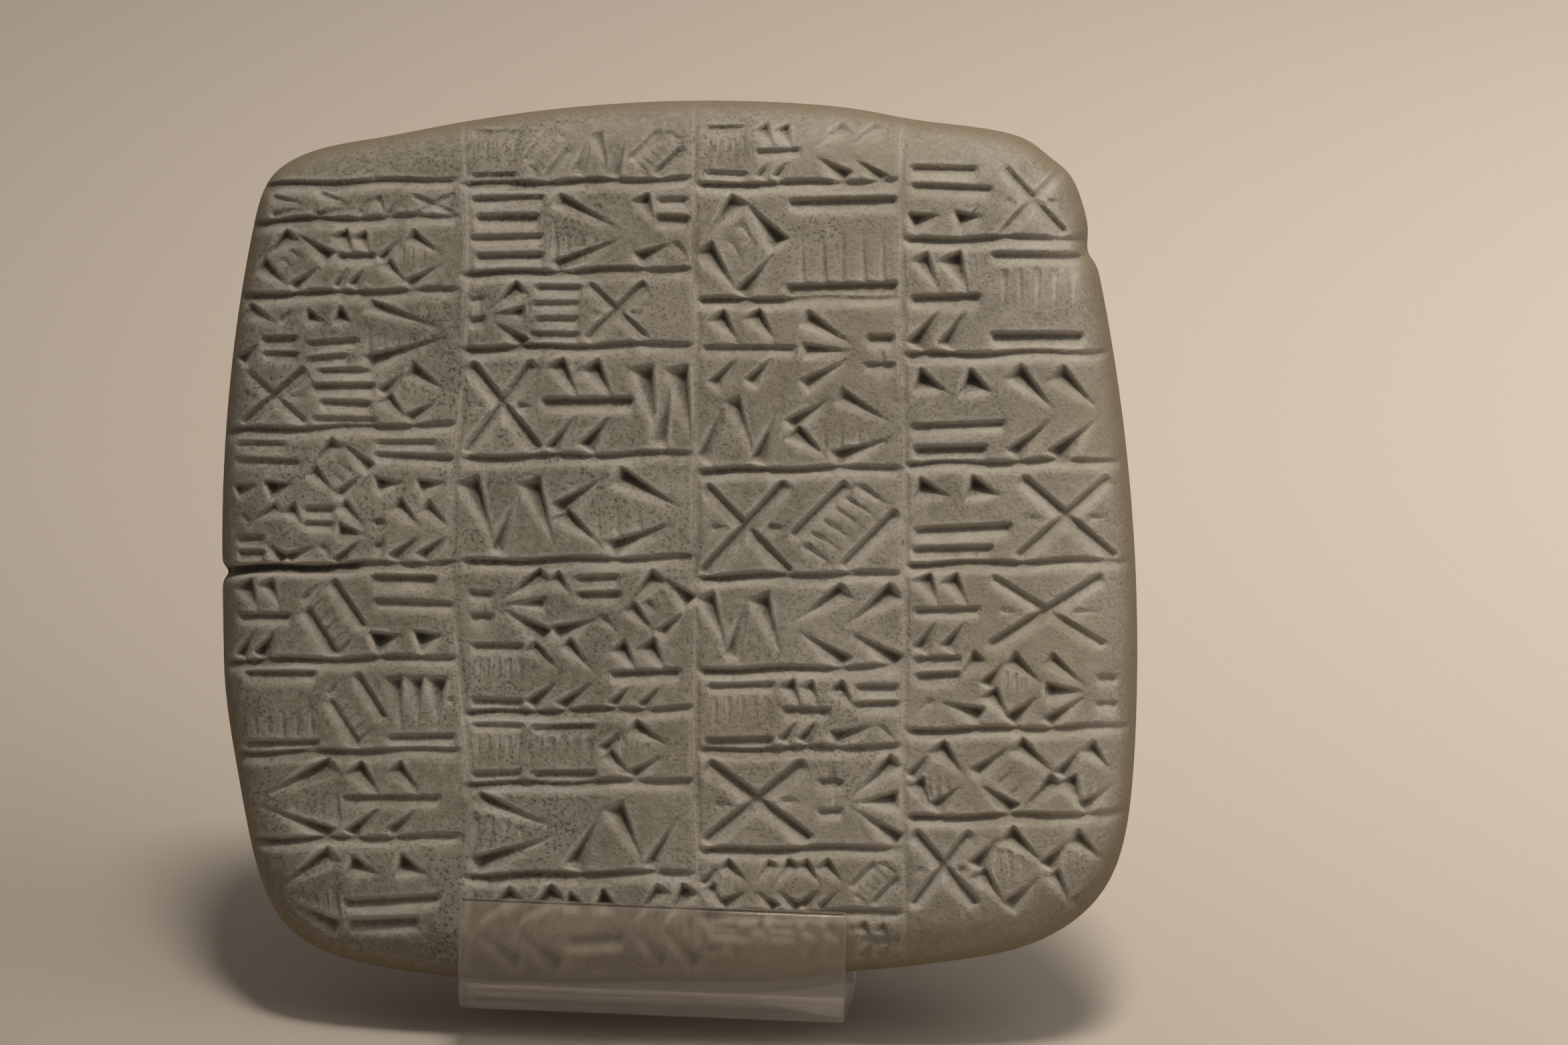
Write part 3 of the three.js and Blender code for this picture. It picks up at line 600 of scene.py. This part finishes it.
def clayMaterial():
    # colours and grain from noise in the object's own space and from the values kept at each point
    material, tree, shader = newMaterial("clay")
    place = addNode(tree, "ShaderNodeTexCoord").outputs["Object"]
    dent, crest = attribute(tree, "dent"), attribute(tree, "crest")
    rim, ahead = attribute(tree, "rim"), attribute(tree, "ahead")
    grainy = {name: noise(tree, place, *values) for name, values in clayGrain.items()}
    broad = ramp(tree, grainy["broad"], 0.38, 0.62)
    colour = blend(tree, broad, clayLook["dark"], clayLook["pale"])
    # fine pale and dark grain all over
    mottle = ramp(tree, grainy["mottle"], 0.40, 0.68)
    colour = blend(tree, times(tree, mottle, 0.30), colour, clayLook["dust_and_painted_light"])
    specks = ramp(tree, grainy["specks"], 0.50, 0.66)
    crowd = ramp(tree, grainy["crowd"], 0.36, 0.64, (0.15, 0.85))
    colour = blend(tree, times(tree, specks, crowd), colour, clayLook["speck"])
    # olive-brown stains in patches, stronger to the right
    sideways = addNode(tree, "ShaderNodeSeparateXYZ", Vector=place).outputs["X"]
    rightward = ramp(tree, sideways, -0.025, 0.035, (0.15, 0.7))
    stained = times(tree, ramp(tree, grainy["stains"], 0.42, 0.66), rightward)
    colour = blend(tree, stained, colour, clayLook["olive"])
    # painted light: the clay is painted paler towards the right, standing in for the stronger light on that
    # side
    painted_light_right = ramp(tree, sideways, -0.02, 0.045, (0.0, 0.24))
    colour = blend(tree, painted_light_right, colour, clayLook["dust_and_painted_light"])
    # pale dust lies in shallow strokes and on the worn crests beside them
    patches = ramp(tree, grainy["patches"], 0.32, 0.60)
    shallow = times(tree, ramp(tree, dent, 0.06, 0.22), ramp(tree, dent, 0.75, 0.35))
    dusty = times(tree, shallow, patches)
    colour = blend(tree, times(tree, dusty, 0.5), colour, clayLook["dust_and_painted_light"])
    worn = times(tree, ramp(tree, crest, 0.02, 0.16), 0.5)
    colour = blend(tree, worn, colour, clayLook["dust_and_painted_light"])
    # painted shade: the deepest strokes are darkened towards near-black, standing in for the shade that
    # falls in them
    groove_shade_share = times(tree, ramp(tree, dent, 0.45, 1.2), 0.62)
    colour = blend(tree, groove_shade_share, colour, clayLook["groove_shade"])
    # browner clay on the rim and the back
    rimShare = times(tree, ramp(tree, rim, 0.955, 0.992), 0.8)
    colour = blend(tree, rimShare, colour, clayLook["rim"])
    colour = blend(tree, ramp(tree, ahead, 0.05, -0.5), colour, clayLook["back"])
    tree.links.new(colour, shader.inputs["Base Color"])
    rough = ramp(tree, grainy["polish"], 0.3, 0.7, (0.82, 0.96))
    tree.links.new(rough, shader.inputs["Roughness"])
    shader.inputs["Specular IOR Level"].default_value = clayLook["specular"]
    grit = addNode(tree, "ShaderNodeBump", Height=grainy["grit"], Strength=0.45, Distance=0.00014)
    pores = addNode(tree, "ShaderNodeBump", dict(invert=True), Height=specks, Strength=0.4, Distance=0.0001,
                    Normal=grit.outputs[0])
    tree.links.new(pores.outputs[0], shader.inputs["Normal"])
    return material


tabletPiece, tabletMiddle = buildTablet()
paintTablet(tabletPiece, tabletMiddle)
tabletPiece.data.materials.clear()
tabletPiece.data.materials.append(clayMaterial())
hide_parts("tablet")
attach(tabletPiece, "root")
print("tablet built:", len(tabletPiece.data.polygons), "faces")


# Clear cradle: one sheet bent along a side line of straight runs and round bends.
strip = dict(
    width=33.4, thickness=1.5, bend=2.6, rise=1.0, lip=9.0, flare=14.0, backRest=52.0, rearAngle=27.0,
    footGap=1.0, rest=0.3, bendSteps=18, edge=0.22, edgeSteps=5, seatSteps=200,
)


def tilted(up, out):
    # a place up the tablet and out of its face, as (back, up) in the cradle's side view
    lean = math.radians(view["lean"])
    back = up * math.sin(lean) - out * math.cos(lean)
    return np.array([back, up * math.cos(lean) + out * math.sin(lean)])


def bendCentre(before, corner, after):
    # out from the corner along the middle of its angle, by radius / sin(half the angle)
    a, b = before - corner, after - corner
    a, b = a / np.linalg.norm(a), b / np.linalg.norm(b)
    middle = (a + b) / np.linalg.norm(a + b)
    return corner + middle * strip["bend"] / math.sin(math.acos(a @ b) / 2)


def stripCorners():
    # the shelf just clears the tablet's rounded underside; the foot lies level with the heel's lowest point
    roll = math.radians(view["roll"])
    under = outlineAngle < 0
    reach = np.max(-(outlineRadii * np.sin(outlineAngle + roll))[under])
    half = strip["thickness"] / 2
    backPlane = -(tablet["backRise"] + tablet["backDome"] + strip["rest"] + half)
    lipPlane = tablet["frontRise"] + strip["rest"] + half
    slope = strip["rise"] / (lipPlane - backPlane)
    share = np.linspace(0, 1, strip["seatSteps"] + 1)
    out = np.stack([frontHeight(share), -backHeight(share)])
    seat = np.min(-reach * share - slope * (lipPlane - out)) - (strip["rest"] + half) * math.hypot(1, slope)
    flare = math.tan(math.radians(strip["flare"]))
    lipTop = tilted(seat + strip["lip"], lipPlane + strip["lip"] * flare)
    toe, heel = tilted(seat, lipPlane), tilted(seat + strip["rise"], backPlane)
    crest = tilted(seat + strip["backRest"], backPlane)
    heelBend = bendCentre(toe, heel, crest)
    floor = heelBend[1] - strip["bend"]
    drop = (crest[1] - floor) * math.tan(math.radians(strip["rearAngle"]))
    foot = np.array([crest[0] + drop, floor])
    clear = math.sqrt((strip["bend"] + half) ** 2 - (strip["bend"] - half) ** 2)
    tip = np.array([heelBend[0] + clear + strip["footGap"], floor])
    return [lipTop, toe, heel, crest, foot, tip]


def sheetLine(corners):
    # middle line of the sheet and its unit normals, with an arc at each inner corner
    points, normals = [], []
    for i, corner in enumerate(corners):
        into = corner - corners[i - 1] if i > 0 else corners[1] - corners[0]
        into = into / np.linalg.norm(into)
        normal = np.array([-into[1], into[0]])
        if i in (0, len(corners) - 1):
            points.append(corner[None])
            normals.append(normal[None])
            continue
        away = corners[i + 1] - corner
        away = away / np.linalg.norm(away)
        turn = math.atan2(into[0] * away[1] - into[1] * away[0], float(into @ away))
        sign, radius = math.copysign(1, turn), strip["bend"]
        centre = corner - into * radius * math.tan(abs(turn) / 2) + normal * sign * radius
        sweep = turn * np.linspace(0, 1, strip["bendSteps"] + 1)[:, None]
        outward = normal * np.cos(sweep) + np.array([-normal[1], normal[0]]) * np.sin(sweep)
        points.append(centre - sign * radius * outward)
        normals.append(outward)
    return np.concatenate(points), np.concatenate(normals)


def buildStrip():
    # the sheet's section, a loop of (across the width, through the thickness), is carried along its line
    line, normals = sheetLine(stripCorners())
    halfWidth, half, edge = strip["width"] / 2, strip["thickness"] / 2, strip["edge"]
    arc = np.linspace(0, np.pi / 2, strip["edgeSteps"])
    quarter = np.stack([halfWidth - edge + edge * np.cos(arc), half - edge + edge * np.sin(arc)], axis=-1)
    upper = np.concatenate([quarter, quarter[::-1] * (-1, 1)])
    loop = np.concatenate([upper, upper * (-1, -1)])
    # the two cut ends are rounded by short last steps in which the section shrinks
    rings = []
    ahead = (line[1] - line[0]) / np.linalg.norm(line[1] - line[0])
    behind = (line[-2] - line[-1]) / np.linalg.norm(line[-2] - line[-1])
    steps = [(edge * (1 - math.cos(a)), edge * (1 - math.sin(a))) for a in arc]
    ends = [(line[0] + ahead * along, normals[0], inset) for along, inset in steps]
    tail = [(line[-1] + behind * along, normals[-1], inset) for along, inset in steps[::-1]]
    middle = [(point, normal, 0.0) for point, normal in zip(line[1:-1], normals[1:-1])]
    for point, normal, inset in ends + middle + tail:
        shrink = np.array([1 - inset / halfWidth, 1 - inset / half])
        section = loop * shrink
        rings.append(np.stack([
            section[:, 0],
            point[0] + normal[0] * section[:, 1],
            point[1] + normal[1] * section[:, 1],
        ], axis=-1))
    rings = np.array(rings)
    count, around = rings.shape[:2]
    numbers = np.arange(count * around).reshape(count, around)
    wrapped = np.concatenate([numbers, numbers[:, :1]], axis=1)
    quads = gridFaces(False, wrapped)
    # each cut end is closed by a ladder across the section
    pairs = np.arange(around // 2)
    ladder = np.stack([pairs[:-1], pairs[1:], around - 1 - pairs[1:], around - 1 - pairs[:-1]], axis=-1)
    caps = np.concatenate([ladder[:, ::-1], ladder + (count - 1) * around])
    points = rings.reshape(-1, 3)
    low, high = (np.array(corner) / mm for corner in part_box("clear_stand"))
    points = points + (low + high) / 2 - (points.max(0) + points.min(0)) / 2
    return meshFrom("bent_clear_sheet", points * mm, np.concatenate([quads, caps]))


clearLook = dict(
    tint=(0.88, 0.81, 0.72, 1), ior=1.49, through=0.95, opacity=0.5, smears=(120, 4, 0.6), waves=(180, 2),
)


def clearMaterial():
    # hazy, rubbed plastic: mostly see-through, with smears that are a little rougher
    material, tree, shader = newMaterial("clear_sheet")
    shader.inputs["Base Color"].default_value = clearLook["tint"]
    shader.inputs["Transmission Weight"].default_value = clearLook["through"]
    shader.inputs["IOR"].default_value = clearLook["ior"]
    shader.inputs["Alpha"].default_value = clearLook["opacity"]
    place = addNode(tree, "ShaderNodeTexCoord").outputs["Object"]
    smears = noise(tree, place, *clearLook["smears"])
    tree.links.new(ramp(tree, smears, 0.35, 0.75, (0.06, 0.18)), shader.inputs["Roughness"])
    waves = noise(tree, place, *clearLook["waves"])
    ripple = addNode(tree, "ShaderNodeBump", Height=waves, Strength=0.12, Distance=0.0003)
    tree.links.new(ripple.outputs[0], shader.inputs["Normal"])
    return material


stripPiece = buildStrip()
stripPiece.data.materials.append(clearMaterial())
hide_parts("clear_stand")
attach(stripPiece, "root")
print("cradle built")


# Floor, light and camera.
stageLook = dict(
    floor=(0.45, 0.40, 0.343, 1), floorPale=(0.475, 0.42, 0.36, 1), floorGrain=(900, 3),
    floorReach=3.0, sky=(0.60, 0.56, 0.52, 1), skyStrength=0.38,
)
lamps = dict(  # places and aims are in metres from the tablet's middle
    overhead=dict(place=(0.13, -0.30, 1.05), aim=(0.31, 0.34, -0.04), size=0.28, power=2.6,
                  colour=(1.0, 0.92, 0.84), spread=56),
    right_fill=dict(place=(0.40, -0.20, 0.42), aim=(0, 0, 0), size=0.6, power=1.15,
                    colour=(1.0, 0.94, 0.88), spread=180),
)


def buildFloor():
    half = stageLook["floorReach"]
    points = np.array([[-half, -half, 0], [half, -half, 0], [half, half, 0], [-half, half, 0]])
    floor = meshFrom("plain_floor", points, np.array([[0, 1, 2, 3]]))
    material, tree, shader = newMaterial("pale_floor")
    place = addNode(tree, "ShaderNodeTexCoord").outputs["Object"]
    grainy = noise(tree, place, *stageLook["floorGrain"])
    soft = blend(tree, grainy, stageLook["floor"], stageLook["floorPale"])
    tree.links.new(soft, shader.inputs["Base Color"])
    shader.inputs["Roughness"].default_value = 0.95
    shader.inputs["Specular IOR Level"].default_value = 0.1
    floor.data.materials.append(material)


def addLight(name, look, middle):
    lamp = bpy.data.lights.new(name, "AREA")
    lamp.shape = "DISK"
    lamp.size = look["size"]
    lamp.energy = look["power"]
    lamp.color = look["colour"]
    lamp.spread = math.radians(look["spread"])
    light = bpy.data.objects.new(name, lamp)
    light.location = middle + Vector(look["place"])
    toAim = Vector(look["aim"]) - Vector(look["place"])
    light.rotation_euler = toAim.to_track_quat("-Z", "Y").to_euler()
    bpy.context.scene.collection.objects.link(light)


def addCamera(middle):
    # looks straight at the leaning face, turned a little to the right and tilted with the photograph
    a, e, r = (math.radians(view[key]) for key in ("azimuth", "look", "tilt"))
    away = Vector((math.sin(a) * math.cos(e), -math.cos(a) * math.cos(e), math.sin(e)))
    right = Vector((math.cos(a), math.sin(a), 0))
    up = away.cross(right)
    pictureRight = right * math.cos(r) + up * math.sin(r)
    pictureUp = up * math.cos(r) - right * math.sin(r)
    place = middle + pictureRight * view["aimRight"] + pictureUp * view["aimUp"] + away * view["distance"]
    lens = bpy.data.cameras.new("camera")
    lens.lens = view["focal"]
    lens.sensor_width = view["sensor"]
    lens.clip_end = view["farthest"]
    camera = bpy.data.objects.new("camera", lens)
    turn = Matrix((pictureRight, pictureUp, away)).transposed().to_4x4()
    camera.matrix_world = Matrix.Translation(place) @ turn
    bpy.context.scene.collection.objects.link(camera)
    bpy.context.scene.camera = camera


buildFloor()
middlePoint = Vector(tabletMiddle) * mm
for name, look in lamps.items():
    addLight(name, look, middlePoint)
addCamera(middlePoint)
world = bpy.data.worlds.new("sky")
world.use_nodes = True
world.node_tree.nodes["Background"].inputs["Color"].default_value = stageLook["sky"]
world.node_tree.nodes["Background"].inputs["Strength"].default_value = stageLook["skyStrength"]
bpy.context.scene.world = world
bpy.context.scene.view_settings.view_transform = "Standard"
print("stage set")
